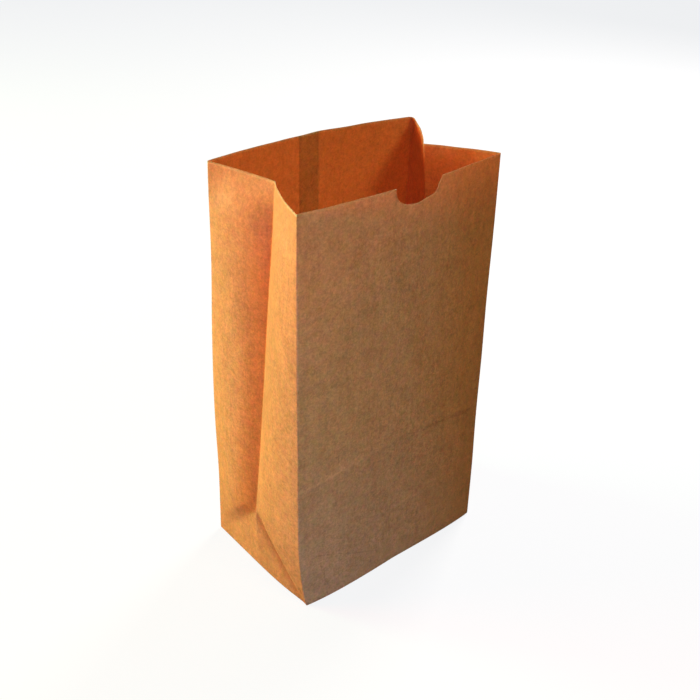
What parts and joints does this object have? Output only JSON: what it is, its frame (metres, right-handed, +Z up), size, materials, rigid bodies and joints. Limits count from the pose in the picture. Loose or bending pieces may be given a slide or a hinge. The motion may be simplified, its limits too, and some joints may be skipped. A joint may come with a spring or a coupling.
{
  "type": "paper lunch bag",
  "caption": "Brown kraft paper lunch bag standing open, with side gussets, a lap seam up the back, a folded and glued flat bottom and a thumb notch in the front edge.",
  "frame": {"origin": "The middle of the bottom, on the surface that the bag stands on, under the middle of the room that the open bag takes up.", "axes": "+Z is up, out of the mouth. -Y is the front, the panel with the thumb notch. X runs across the bag from gusset to gusset."},
  "size_m": [0.1626, 0.1036, 0.2765],
  "materials": {
    "kraft_paper": "matt"
  },
  "bodies": {
    "root": {"paper_bag": "kraft_paper"}
  },
  "joints": []
}
